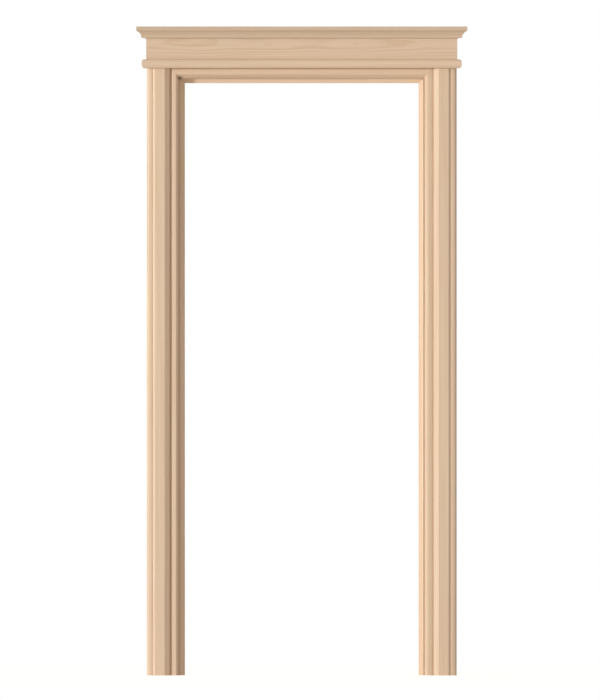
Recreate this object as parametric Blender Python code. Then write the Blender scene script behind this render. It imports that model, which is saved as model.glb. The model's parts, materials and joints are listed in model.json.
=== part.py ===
"""Door frame with moulded casings and a crowned header, in pale unfinished hardwood.

Two side jambs and a head jamb are mitred together and carry planted stops. A moulded casing covers the
front edge of each side jamb. Over them lies a header: a frieze board with a crown moulding along its top
and a bead along its foot, both returned with mitres round the ends of the board.

Units are metres. X runs across the doorway, Y from front to back and Z up from the floor. The origin is on
the floor, in the middle of the frame's box.
"""

import math

import bmesh
import bpy
from mathutils import Vector

# Gap that is left between two pieces that touch
GAP = 0.0003

# Door leaf that the rebate takes, trimmed at its foot to suit the floor
LEAF_WIDTH = 0.826
LEAF_HEIGHT = 2.040
LEAF_THICKNESS = 0.040
LEAF_EDGE_GAP = 0.003
LEAF_STOP_GAP = 0.002

# Jambs: one section for the two sides and the head, with a bowed face between two quirks
JAMB_THICKNESS = 0.050
JAMB_DEPTH = 0.120
JAMB_ARRIS = 0.001
SEAT_QUIRK_WIDTH = 0.0022
SEAT_QUIRK_DEPTH = 0.0016
BOW_HEIGHT = 0.0025
BOW_RISE = 0.06
OVOLO_WIDTH = 0.015
OVOLO_DEPTH = 0.0125
OVOLO_RISE = 0.14
REBATE_LIP = 0.002
REBATE_QUIRK_WIDTH = 0.0032
REBATE_QUIRK_DEPTH = 0.0028

# Planted stops
STOP_PROJECTION = 0.016
STOP_DEPTH = 0.040
STOP_SPLAY = 0.005
STOP_RISE = 0.05

# Side casings: widths of the moulding's members, from the doorway outwards
CASING_LAP = 0.015
CASING_INNER_ROUND = 0.004
CASING_BEVEL_WIDTH = 0.0125
CASING_QUIRK = 0.001
CASING_FIELD_WIDTH = 0.0316
CASING_STEP_WIDTH = 0.0096
CASING_BAND_WIDTH = 0.0108
CASING_OUTER_ROUND = 0.0095

# Side casings: thicknesses and roundings of the same members
CASING_INNER_THICKNESS = 0.0085
CASING_INNER_RISE = 0.16
CASING_BEVEL_RISE = 0.02
CASING_FIELD_THICKNESS = 0.0175
CASING_BAND_THICKNESS = 0.0134
CASING_BAND_DROP = 0.0008
CASING_BAND_RISE = 0.03
CASING_OUTER_DROP = 0.0095
CASING_OUTER_RISE = 0.19

# Side casings: lands and hollow of the back
CASING_OUTER_LAND = 0.014
CASING_LAND_MARGIN = 0.007
CASING_RELIEF = 0.0025

# Frieze board of the header
FRIEZE_HEIGHT = 0.141
FRIEZE_THICKNESS = 0.024
FRIEZE_OVERHANG = 0.002

# Crown moulding: projections from the frieze board
CROWN_PROJECTION = 0.034
CROWN_ARRIS = 0.0015
CROWN_COVE_PROJECTION = 0.0165
CROWN_NOSE_WIDTH = 0.003
CROWN_BED_PROJECTION = 0.0055
CROWN_LIP_PROJECTION = 0.001

# Crown moulding: heights of its members, from the top down
CROWN_FILLET_HEIGHT = 0.0125
CROWN_COVE_HEIGHT = 0.018
CROWN_COVE_RISE = 0.06
CROWN_NOSE_HEIGHT = 0.005
CROWN_NOSE_RISE = 0.12
CROWN_SOFFIT_FALL = 0.001
CROWN_BED_HEIGHT = 0.0055
CROWN_LIP_HEIGHT = 0.002

# Bead at the foot of the frieze board
BEAD_HEIGHT = 0.029
BEAD_PROJECTION = 0.015
BEAD_NOSE = 0.0085
BEAD_EDGE = 0.007
BEAD_FOOT_PROJECTION = 0.007
BEAD_RISE = 0.15

# Screws that hold the mitred corners of the jambs
SCREW_LENGTH = 0.080
SCREW_SHANK_RADIUS = 0.0025
SCREW_HEAD_RADIUS = 0.0048
SCREW_HEAD_HEIGHT = 0.0030
SCREW_POINT = 0.008
SCREW_SPACING = 0.060
SCREW_SINK = 0.0005

# Dowels between the casings and the frieze board
DOWEL_RADIUS = 0.004
DOWEL_LENGTH = 0.040
DOWEL_CHAMFER = 0.001
DOWEL_SPACING = 0.018
DOWEL_END_ROOM = 0.001

# Facets of curved stretches
QUARTER_RISE = (math.sqrt(2) - 1) / 2
ARC_STEPS = 8
ARRIS_STEPS = 3
TURN_STEPS = 24

# Places that follow from the sizes above
REBATE_HALF_WIDTH = LEAF_WIDTH / 2 + LEAF_EDGE_GAP
REBATE_TOP = LEAF_HEIGHT + LEAF_EDGE_GAP
STOP_FRONT = LEAF_THICKNESS + LEAF_STOP_GAP
REVEAL = JAMB_THICKNESS - CASING_LAP
HEADER_FOOT = REBATE_TOP + REVEAL
HEADER_TOP = HEADER_FOOT + FRIEZE_HEIGHT
CASING_FIELD_START = CASING_INNER_ROUND + CASING_BEVEL_WIDTH + CASING_QUIRK
CASING_WIDTH = (
    CASING_FIELD_START + CASING_FIELD_WIDTH + CASING_STEP_WIDTH + CASING_BAND_WIDTH + CASING_OUTER_ROUND
)
FRIEZE_HALF_WIDTH = REBATE_HALF_WIDTH + REVEAL + CASING_WIDTH + FRIEZE_OVERHANG
FRONT_REACH = GAP + FRIEZE_THICKNESS + GAP + CROWN_PROJECTION
JAMB_FRONT_Y = (FRONT_REACH - JAMB_DEPTH) / 2
FRIEZE_FRONT_Y = JAMB_FRONT_Y - GAP - FRIEZE_THICKNESS

# Axes
ACROSS = Vector((1, 0, 0))
BACK = Vector((0, 1, 0))
UP = Vector((0, 0, 1))

# Colours of the timber by piece, and of the screws' zinc, as sRGB
WOOD_COLOURS = {
    "jamb": "D9BD9D",
    "stop": "DDC2A5",
    "casing": "D9BEA2",
    "frieze": "D8BD9F",
    "crown": "CEB699",
    "bead": "DAC09F",
    "dowel": "D2B48C",
}
WOOD_ROUGHNESS = 0.62
ZINC_COLOUR = "B9B6AC"
ZINC_ROUGHNESS = 0.35


def clear_scene():
    """Take away whatever the file opens with."""
    for old in list(bpy.data.objects):
        bpy.data.objects.remove(old, do_unlink=True)


def linear(hex_colour):
    """Return the linear RGBA value of an sRGB hex colour."""
    channels = [int(hex_colour[i:i + 2], 16) / 255 for i in (0, 2, 4)]
    toned = [c / 12.92 if c <= 0.04045 else ((c + 0.055) / 1.055) ** 2.4 for c in channels]
    return (*toned, 1.0)


def surface(name, hex_colour, roughness, metallic=0.0):
    """Make a material for one piece."""
    material = bpy.data.materials.new(name)
    material.use_nodes = True
    shader = material.node_tree.nodes["Principled BSDF"]
    shader.inputs["Base Color"].default_value = linear(hex_colour)
    shader.inputs["Roughness"].default_value = roughness
    shader.inputs["Metallic"].default_value = metallic
    return material


def wood(name, kind):
    """Make the timber of one piece."""
    return surface(name + "_wood", WOOD_COLOURS[kind], WOOD_ROUGHNESS)


def zinc(name):
    """Make the plated steel of one screw."""
    return surface(name + "_zinc", ZINC_COLOUR, ZINC_ROUGHNESS, metallic=1.0)


# Outlines. They run clockwise, so a stretch with a positive rise bows out of the timber and one with a
# negative rise is hollow. The rise is the height of the arc as a share of its chord.


def arc(start, end, rise, steps):
    """Return the points after start, up to end, of an arc of the given rise."""
    if rise == 0:
        return [end]
    chord = Vector(end) - Vector(start)
    left = Vector((-chord.y, chord.x))
    half_turn = 2 * math.atan(2 * rise)
    centre = (Vector(start) + Vector(end)) / 2 - left / (2 * math.tan(half_turn))
    spoke = Vector(start) - centre
    points = []
    for step in range(1, steps):
        angle = -2 * half_turn * step / steps
        turned_spoke = Vector((
            spoke.x * math.cos(angle) - spoke.y * math.sin(angle),
            spoke.x * math.sin(angle) + spoke.y * math.cos(angle),
        ))
        points.append(tuple(centre + turned_spoke))
    return points + [end]


def outline(stretches):
    """Return the points of a closed outline from stretches (x, y, rise, steps) that lead to (x, y)."""
    points = []
    start = stretches[-1][:2]
    for x, y, rise, steps in stretches:
        points.extend(arc(start, (x, y), rise, steps))
        start = (x, y)
    return points


def line_to(x, y):
    """A straight stretch."""
    return (x, y, 0, 1)


def curve_to(x, y, rise):
    """A moulded stretch."""
    return (x, y, rise, ARC_STEPS)


def eased_to(x, y):
    """The small quarter round of an eased arris."""
    return (x, y, QUARTER_RISE, ARRIS_STEPS)


def jamb_section():
    """Jamb, measured outwards from the rebate and back from the seat of the casing and the header."""
    bow_start = REVEAL - SEAT_QUIRK_WIDTH
    quirk_outer = REBATE_LIP + REBATE_QUIRK_WIDTH
    quirk_floor = OVOLO_DEPTH + REBATE_QUIRK_DEPTH
    return outline([
        line_to(REVEAL, 0),
        line_to(REVEAL, SEAT_QUIRK_DEPTH),
        line_to(bow_start, SEAT_QUIRK_DEPTH),
        line_to(bow_start, 0),
        curve_to(OVOLO_WIDTH, -BOW_HEIGHT, BOW_RISE),
        curve_to(quirk_outer, OVOLO_DEPTH, OVOLO_RISE),
        line_to(quirk_outer, quirk_floor),
        line_to(REBATE_LIP, quirk_floor),
        line_to(REBATE_LIP, OVOLO_DEPTH),
        line_to(JAMB_ARRIS, OVOLO_DEPTH),
        eased_to(0, OVOLO_DEPTH + JAMB_ARRIS),
        line_to(0, JAMB_DEPTH - JAMB_ARRIS),
        eased_to(JAMB_ARRIS, JAMB_DEPTH),
        line_to(JAMB_THICKNESS - JAMB_ARRIS, JAMB_DEPTH),
        eased_to(JAMB_THICKNESS, JAMB_DEPTH - JAMB_ARRIS),
        line_to(JAMB_THICKNESS, 0),
    ])


def stop_section():
    """Stop, measured as the jamb is, with its splayed face."""
    splay_end = STOP_FRONT + STOP_SPLAY
    stop_back = STOP_FRONT + STOP_DEPTH
    return outline([
        line_to(-GAP, STOP_FRONT),
        curve_to(-STOP_PROJECTION + JAMB_ARRIS, splay_end, STOP_RISE),
        eased_to(-STOP_PROJECTION, splay_end + JAMB_ARRIS),
        line_to(-STOP_PROJECTION, stop_back - JAMB_ARRIS),
        eased_to(-STOP_PROJECTION + JAMB_ARRIS, stop_back),
        line_to(-GAP, stop_back),
    ])


def casing_section():
    """Casing, measured as the jamb is: its back lies on the jamb's seat, its face looks forward."""
    inner = REVEAL
    bevel_start = inner + CASING_INNER_ROUND
    bevel_end = bevel_start + CASING_BEVEL_WIDTH
    field_start = inner + CASING_FIELD_START
    field_end = field_start + CASING_FIELD_WIDTH
    band_start = field_end + CASING_STEP_WIDTH
    band_end = band_start + CASING_BAND_WIDTH
    outer = inner + CASING_WIDTH

    back = -GAP
    relief = back - CASING_RELIEF
    inner_face = back - CASING_INNER_THICKNESS
    field_face = back - CASING_FIELD_THICKNESS
    bevel_face = field_face + CASING_QUIRK
    band_face = back - CASING_BAND_THICKNESS
    band_edge = band_face + CASING_BAND_DROP
    step_rise = (CASING_FIELD_THICKNESS - CASING_BAND_THICKNESS) / CASING_STEP_WIDTH / 4
    inner_land = inner + CASING_LAP + CASING_LAND_MARGIN
    outer_land = outer - CASING_OUTER_LAND
    return outline([
        line_to(outer, back),
        line_to(outer, band_edge + CASING_OUTER_DROP),
        curve_to(band_end, band_edge, CASING_OUTER_RISE),
        curve_to(band_start, band_face, CASING_BAND_RISE),
        curve_to((band_start + field_end) / 2, (band_face + field_face) / 2, -step_rise),
        curve_to(field_end, field_face, step_rise),
        line_to(field_start, field_face),
        line_to(bevel_end, bevel_face),
        curve_to((bevel_start + bevel_end) / 2, (inner_face + bevel_face) / 2, CASING_BEVEL_RISE),
        curve_to(bevel_start, inner_face, -CASING_BEVEL_RISE),
        curve_to(inner, inner_face + CASING_INNER_ROUND, CASING_INNER_RISE),
        line_to(inner, back),
        line_to(inner_land, back),
        line_to(inner_land + CASING_RELIEF, relief),
        line_to(outer_land - CASING_RELIEF, relief),
        line_to(outer_land, back),
    ])


def frieze_section():
    """Frieze board, measured forward from its back and up from its foot."""
    return outline([
        line_to(0, FRIEZE_HEIGHT),
        line_to(FRIEZE_THICKNESS, FRIEZE_HEIGHT),
        line_to(FRIEZE_THICKNESS, 0),
        line_to(0, 0),
    ])


def crown_section():
    """Crown, measured forward from the frieze board and up from the top of the header."""
    cove_top = -CROWN_FILLET_HEIGHT
    cove_foot = cove_top - CROWN_COVE_HEIGHT
    nose_foot = cove_foot - CROWN_NOSE_HEIGHT
    bed_top = nose_foot - CROWN_SOFFIT_FALL
    bed_foot = bed_top - CROWN_BED_HEIGHT
    foot = bed_foot - CROWN_LIP_HEIGHT
    return outline([
        line_to(0, 0),
        line_to(CROWN_PROJECTION - CROWN_ARRIS, 0),
        eased_to(CROWN_PROJECTION, -CROWN_ARRIS),
        line_to(CROWN_PROJECTION, cove_top),
        curve_to(CROWN_COVE_PROJECTION, cove_foot, -CROWN_COVE_RISE),
        curve_to(CROWN_COVE_PROJECTION - CROWN_NOSE_WIDTH, nose_foot, CROWN_NOSE_RISE),
        line_to(CROWN_BED_PROJECTION, bed_top),
        curve_to(CROWN_LIP_PROJECTION, bed_foot, -QUARTER_RISE),
        line_to(CROWN_LIP_PROJECTION, foot),
        line_to(0, foot),
    ])


def bead_section():
    """Bead, measured forward from the frieze board and up from the foot of the header."""
    nose_foot = BEAD_HEIGHT - BEAD_NOSE - BEAD_EDGE
    return outline([
        line_to(0, BEAD_HEIGHT),
        line_to(BEAD_PROJECTION - BEAD_NOSE, BEAD_HEIGHT),
        curve_to(BEAD_PROJECTION, BEAD_HEIGHT - BEAD_NOSE, QUARTER_RISE),
        line_to(BEAD_PROJECTION, nose_foot),
        curve_to(BEAD_FOOT_PROJECTION, 0, BEAD_RISE),
        line_to(0, 0),
    ])


# Solids. Each is built about its own origin, which its object then carries to its place.


def swept(section, first_axis, second_axis, start, end):
    """Sweep a section straight from start to end, with its two measures along the given axes."""
    mesh = bmesh.new()
    corners = [mesh.verts.new(start + a * first_axis + b * second_axis) for a, b in section]
    cap = mesh.faces.new(corners)
    grown = bmesh.ops.extrude_face_region(mesh, geom=[cap])["geom"]
    far_corners = [item for item in grown if isinstance(item, bmesh.types.BMVert)]
    bmesh.ops.translate(mesh, verts=far_corners, vec=end - start)
    bmesh.ops.recalc_face_normals(mesh, faces=mesh.faces)
    return mesh


def trim(mesh, point, away):
    """Saw off what lies beyond the plane through point, on the side that away looks to."""
    everything = mesh.verts[:] + mesh.edges[:] + mesh.faces[:]
    cut = bmesh.ops.bisect_plane(mesh, geom=everything, plane_co=point, plane_no=away, clear_outer=True)
    rim = [item for item in cut["geom_cut"] if isinstance(item, bmesh.types.BMEdge)]
    bmesh.ops.contextual_create(mesh, geom=rim)
    bmesh.ops.recalc_face_normals(mesh, faces=mesh.faces)


def turned(profile):
    """Turn a profile of (radius, height) points, from tip to tip of the axis, about Z."""
    mesh = bmesh.new()
    corners = [mesh.verts.new((radius, 0, height)) for radius, height in profile]
    edges = [mesh.edges.new(pair) for pair in zip(corners, corners[1:])]
    bmesh.ops.spin(
        mesh, geom=corners + edges, cent=(0, 0, 0), axis=UP, angle=2 * math.pi,
        steps=TURN_STEPS, use_merge=True,
    )
    bmesh.ops.remove_doubles(mesh, verts=mesh.verts, dist=1e-6)
    bmesh.ops.recalc_face_normals(mesh, faces=mesh.faces)
    return mesh


def new_object(name, mesh, place, parent=None):
    """Make an object of a finished mesh and put it in its place."""
    data = bpy.data.meshes.new(name)
    mesh.to_mesh(data)
    mesh.free()
    data.shade_smooth()
    data.set_sharp_from_angle(angle=math.radians(25))
    piece = bpy.data.objects.new(name, data)
    piece.location = place
    piece.parent = parent
    bpy.context.collection.objects.link(piece)
    return piece


def add_piece(name, mesh, place, material, parent):
    """Make one finished piece of the frame."""
    piece = new_object(name, mesh, place, parent)
    piece.data.materials.append(material)
    return piece


def bore(pieces, name, mesh, place):
    """Cut a hole of the given shape through each of the pieces."""
    cutter = new_object(name, mesh, place)
    cutter.display_type = "WIRE"
    cutter.hide_render = True
    for piece in pieces:
        hole = piece.modifiers.new(name, "BOOLEAN")
        hole.operation = "DIFFERENCE"
        hole.solver = "EXACT"
        hole.object = cutter


def upright(section, side, top):
    """Stand a section of the frame's side on the floor, on the side of the doorway given by the sign."""
    return swept(section, side * ACROSS, BACK, Vector(), top * UP)


def mitred_side(section, side):
    """Side member, cut at the top to half the corner's angle."""
    mesh = upright(section, side, REBATE_TOP + 2 * JAMB_THICKNESS)
    away = (UP - side * ACROSS).normalized()
    trim(mesh, REBATE_TOP * UP - away * GAP / 2, away)
    return mesh


def mitred_head(section):
    """Head member, cut at both ends to half the corner's angle."""
    reach = (REBATE_HALF_WIDTH + 2 * JAMB_THICKNESS) * ACROSS
    mesh = swept(section, UP, BACK, -reach, reach)
    for side in (-1, 1):
        away = (side * ACROSS - UP).normalized()
        trim(mesh, side * REBATE_HALF_WIDTH * ACROSS - away * GAP / 2, away)
    return mesh


def moulding_front(section):
    """Header moulding along the board, mitred at both ends round the board's corners."""
    reach = (FRIEZE_HALF_WIDTH + 2 * CROWN_PROJECTION) * ACROSS
    mesh = swept(section, -BACK, UP, -reach, reach)
    for side in (-1, 1):
        away = (side * ACROSS + BACK).normalized()
        trim(mesh, side * (FRIEZE_HALF_WIDTH + GAP) * ACROSS - away * GAP / 2, away)
    return mesh


def moulding_return(section, side):
    """Short length of a header moulding on the board's end, from its mitre to the back of the board."""
    start = -2 * CROWN_PROJECTION * BACK
    end = (FRIEZE_THICKNESS + GAP) * BACK
    mesh = swept(section, side * ACROSS, UP, start, end)
    away = -(side * ACROSS + BACK).normalized()
    trim(mesh, -away * GAP / 2, away)
    return mesh


def screw_profile(clearance):
    """Countersunk screw from its head down, or the hole for it, larger all round by the clearance."""
    head = SCREW_HEAD_RADIUS + clearance
    shank = SCREW_SHANK_RADIUS + clearance
    point_top = SCREW_POINT - SCREW_LENGTH
    return [
        (0, 0), (head, 0), (head, -SCREW_SINK), (shank, -SCREW_SINK - SCREW_HEAD_HEIGHT),
        (shank, point_top), (clearance, -SCREW_LENGTH), (0, -SCREW_LENGTH - clearance),
    ]


def screw_mesh():
    """One countersunk screw; its recess is too small to matter here."""
    profile = screw_profile(0)
    return turned(profile[:-2] + [(0, -SCREW_LENGTH)])


def screw_hole_mesh():
    """Countersunk hole, open at the top."""
    profile = screw_profile(GAP)
    mouth = profile[1][0]
    return turned([(0, 2 * SCREW_SINK), (mouth, 2 * SCREW_SINK)] + profile[2:])


def dowel_mesh(radius, half_length, chamfer):
    """Dowel with chamfered ends, or with no chamfer the hole for one."""
    return turned([
        (0, half_length), (radius - chamfer, half_length), (radius, half_length - chamfer),
        (radius, chamfer - half_length), (radius - chamfer, -half_length), (0, -half_length),
    ])


# Sub-assemblies


def build_jambs(parent):
    """Mitred jambs and the stops planted on them."""
    sections = {"jamb": jamb_section(), "stop": stop_section()}
    pieces = {}
    for kind, section in sections.items():
        for label, side in (("left", -1), ("right", 1)):
            name = f"{kind}_{label}"
            place = (side * REBATE_HALF_WIDTH, JAMB_FRONT_Y, 0)
            pieces[name] = add_piece(name, mitred_side(section, side), place, wood(name, kind), parent)
        name = f"{kind}_head"
        place = (0, JAMB_FRONT_Y, REBATE_TOP)
        pieces[name] = add_piece(name, mitred_head(section), place, wood(name, kind), parent)
    return pieces


def build_casings(parent):
    """Side casings, which stand on the floor and stop under the header."""
    pieces = {}
    for label, side in (("left", -1), ("right", 1)):
        name = f"casing_{label}"
        mesh = upright(casing_section(), side, HEADER_FOOT - GAP)
        place = (side * REBATE_HALF_WIDTH, JAMB_FRONT_Y, 0)
        pieces[name] = add_piece(name, mesh, place, wood(name, "casing"), parent)
    return pieces


def build_header(parent):
    """Frieze board with its crown and its bead."""
    half_board = FRIEZE_HALF_WIDTH * ACROSS
    mesh = swept(frieze_section(), -BACK, UP, -half_board, half_board)
    place = (0, JAMB_FRONT_Y - GAP, HEADER_FOOT)
    board = add_piece("frieze_board", mesh, place, wood("frieze_board", "frieze"), parent)

    for kind, section, height in (
        ("crown", crown_section(), HEADER_TOP),
        ("bead", bead_section(), HEADER_FOOT),
    ):
        name = f"{kind}_front"
        place = (0, FRIEZE_FRONT_Y - GAP, height)
        add_piece(name, moulding_front(section), place, wood(name, kind), parent)
        for label, side in (("left", -1), ("right", 1)):
            name = f"{kind}_return_{label}"
            place = (side * (FRIEZE_HALF_WIDTH + GAP), FRIEZE_FRONT_Y - GAP, height)
            add_piece(name, moulding_return(section, side), place, wood(name, kind), parent)
    return board


def build_corner_screws(jambs, parent):
    """Screws driven down through the head jamb into the end of each side jamb."""
    for label, side in (("left", -1), ("right", 1)):
        for row, offset in (("front", -SCREW_SPACING / 2), ("back", SCREW_SPACING / 2)):
            name = f"corner_screw_{label}_{row}"
            place = Vector((
                side * (REBATE_HALF_WIDTH + JAMB_THICKNESS / 2),
                JAMB_FRONT_Y + JAMB_DEPTH / 2 + offset,
                REBATE_TOP + JAMB_THICKNESS - SCREW_SINK,
            ))
            joined = (jambs["jamb_head"], jambs[f"jamb_{label}"])
            bore(joined, name + "_hole", screw_hole_mesh(), place - GAP * UP)
            add_piece(name, screw_mesh(), place, zinc(name), parent)


def build_header_dowels(casings, board, parent):
    """Dowels that register the top of each casing in the foot of the frieze board."""
    field_middle = REVEAL + CASING_FIELD_START + CASING_FIELD_WIDTH / 2
    depth_middle = GAP + (CASING_RELIEF + CASING_FIELD_THICKNESS) / 2
    for label, side in (("left", -1), ("right", 1)):
        for row, offset in (("inner", -DOWEL_SPACING / 2), ("outer", DOWEL_SPACING / 2)):
            name = f"header_dowel_{label}_{row}"
            place = Vector((
                side * (REBATE_HALF_WIDTH + field_middle + offset),
                JAMB_FRONT_Y - depth_middle,
                HEADER_FOOT - GAP / 2,
            ))
            hole = dowel_mesh(DOWEL_RADIUS + GAP, DOWEL_LENGTH / 2 + DOWEL_END_ROOM, 0)
            bore((casings[f"casing_{label}"], board), name + "_hole", hole, place)
            mesh = dowel_mesh(DOWEL_RADIUS, DOWEL_LENGTH / 2, DOWEL_CHAMFER)
            add_piece(name, mesh, place, wood(name, "dowel"), parent)


def build_frame():
    """Build the whole door frame under one empty at the origin."""
    clear_scene()
    door_frame = bpy.data.objects.new("door_frame", None)
    bpy.context.collection.objects.link(door_frame)
    jambs = build_jambs(door_frame)
    casings = build_casings(door_frame)
    board = build_header(door_frame)
    build_corner_screws(jambs, door_frame)
    build_header_dowels(casings, board, door_frame)


build_frame()
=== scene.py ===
"""Door frame in pale unfinished beech: mitred jambs, moulded casings and a crowned header.

Every length of timber is a section that is drawn member by member, swept to its length and sawn to its
mitres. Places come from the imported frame; the members of the mouldings are fields of the classes below.
Units are metres. X runs across the doorway, Y from front to back and Z up from the floor.
"""

import itertools
import json
import logging
import math
from collections.abc import Callable, Sequence
from dataclasses import dataclass, field
from enum import Enum

import bmesh
import bpy
from mathutils import Matrix, Vector

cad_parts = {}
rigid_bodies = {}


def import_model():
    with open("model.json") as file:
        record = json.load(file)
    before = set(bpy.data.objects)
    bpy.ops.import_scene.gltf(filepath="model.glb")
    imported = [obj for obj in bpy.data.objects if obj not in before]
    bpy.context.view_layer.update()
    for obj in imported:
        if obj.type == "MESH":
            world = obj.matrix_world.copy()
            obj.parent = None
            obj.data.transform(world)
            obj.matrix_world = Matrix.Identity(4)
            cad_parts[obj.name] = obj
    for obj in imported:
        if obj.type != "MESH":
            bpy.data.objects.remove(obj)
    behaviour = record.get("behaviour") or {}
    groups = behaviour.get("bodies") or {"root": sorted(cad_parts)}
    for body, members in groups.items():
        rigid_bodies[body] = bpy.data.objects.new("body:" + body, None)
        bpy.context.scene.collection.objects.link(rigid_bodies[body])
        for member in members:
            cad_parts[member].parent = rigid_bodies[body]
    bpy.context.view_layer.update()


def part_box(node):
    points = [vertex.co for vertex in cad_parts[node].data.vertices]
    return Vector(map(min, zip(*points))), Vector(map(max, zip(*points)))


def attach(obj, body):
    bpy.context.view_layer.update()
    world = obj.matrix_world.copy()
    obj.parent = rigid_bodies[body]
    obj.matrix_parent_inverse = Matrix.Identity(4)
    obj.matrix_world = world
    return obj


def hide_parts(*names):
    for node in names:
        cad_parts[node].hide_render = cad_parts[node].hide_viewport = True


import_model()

LOG = logging.getLogger("door_frame")

ACROSS = Vector((1.0, 0.0, 0.0))
BACK = Vector((0.0, 1.0, 0.0))
UP = Vector((0.0, 0.0, 1.0))

MM = 0.001
QUARTER_RISE = (math.sqrt(2.0) - 1.0) / 2.0
ARC_STEPS = 18
ARRIS_STEPS = 5
SOFT_ANGLE = math.radians(24.0)
SANDED_EDGE = 0.35 * MM
HAIRLINE = 0.12 * MM
WELD = 0.01 * MM
BORE_STEPS = 32
BOARD_SPACING_MM = 1370.0

# A Mix node has sockets of the same names for numbers, vectors and colours; these are the ones for colours
FIRST_COLOUR = 6
SECOND_COLOUR = 7
MIXED_COLOUR = 2

Socket = bpy.types.NodeSocket
Tree = bpy.types.NodeTree
Solid = bmesh.types.BMesh
Corner = bmesh.types.BMVert
Edge = bmesh.types.BMEdge
Piece = bpy.types.Object
Pair = tuple[float, float]
Rgba = tuple[float, float, float, float]
NodeInput = float | tuple | Socket | bpy.types.Node


class Side(Enum):
    """The two sides of the doorway, as seen from the front."""

    LEFT = -1
    RIGHT = 1

    @property
    def label(self) -> str:
        """The side's name in lower case."""
        return self.name.lower()

    @property
    def outward(self) -> Vector:
        """The direction from the doorway to this side."""
        return self.value * ACROSS


class Grain(Enum):
    """The way the fibres of a board run, as the turn that brings them onto a pattern's own X axis."""

    ALONG_X = (0.0, 0.0, 0.0)
    ALONG_Y = (0.0, 0.0, -math.pi / 2)
    ALONG_Z = (0.0, math.pi / 2, 0.0)


class Cut(Enum):
    """How a board was sawn: where the heart of the tree lies from it, in mm, behind and to the side."""

    FLAT = (85.0, 12.0)
    RIFT = (120.0, 95.0)
    QUARTER = (25.0, 190.0)


# Colours and nodes


def linear(hex_colour: str) -> Rgba:
    """Turn an sRGB hex colour into the linear value that shaders take.

    Args:
        hex_colour: Six hex digits.

    Returns:
        Red, green, blue and an alpha of one.
    """
    channels = [int(hex_colour[i:i + 2], 16) / 255.0 for i in (0, 2, 4)]
    toned = [c / 12.92 if c <= 0.04045 else ((c + 0.055) / 1.055) ** 2.4 for c in channels]
    return (toned[0], toned[1], toned[2], 1.0)


def add_node(
    tree: Tree, kind: str, inputs: dict[str | int, NodeInput] | None = None, **settings: str
) -> bpy.types.Node:
    """Add a shader node with its settings, and fill or link its inputs.

    Args:
        tree: The node tree of a material or a world.
        kind: The node's type name, without the ShaderNode that all of them start with.
        inputs: Values for its sockets, output sockets to link to them, or nodes whose first output is meant.
        settings: Values of the node's own properties.

    Returns:
        The new node.
    """
    node = tree.nodes.new(f"ShaderNode{kind}")
    for name, value in settings.items():
        setattr(node, name, value)
    for key, value in (inputs or {}).items():
        if isinstance(value, bpy.types.Node):
            value = value.outputs[0]
        if isinstance(value, Socket):
            tree.links.new(value, node.inputs[key])
        else:
            node.inputs[key].default_value = value
    return node


def empty_tree(owner: bpy.types.Material | bpy.types.World) -> Tree:
    """Give a material or a world a node tree with nothing in it.

    Args:
        owner: The material or the world.

    Returns:
        Its node tree.
    """
    owner.use_nodes = True
    owner.node_tree.nodes.clear()
    return owner.node_tree


# Finishes


@dataclass(frozen=True)
class Mark:
    """A dark spot of painted shade that runs through the timber at one place, such as the shade in a mitred
    corner.
    """

    centre: Vector
    reach_mm: tuple[float, float, float]
    strength: float


@dataclass(frozen=True)
class Board:
    """One board out of the stack: the way it lies in the frame, how it was sawn and its own pattern."""

    grain: Grain
    cut: Cut
    paleness: float = 1.0
    middle_mm: Pair = (0.0, 0.0)
    marks: tuple[Mark, ...] = ()
    number: int = field(default_factory=itertools.count(1).__next__, init=False)

    @property
    def shift_mm(self) -> tuple[float, float, float]:
        """Where the pattern is read for this board, far from the place of every board made before it."""
        return (BOARD_SPACING_MM * self.number, 0.0, 0.0)

    def shaded(self, hex_colour: str) -> Rgba:
        """Give a colour of the timber a little paler or darker than on its neighbours; on the stops this is
        painted light, on the right side painted shade.
        """
        red, green, blue, alpha = linear(hex_colour)
        return (red * self.paleness, green * self.paleness, blue * self.paleness, alpha)


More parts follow.
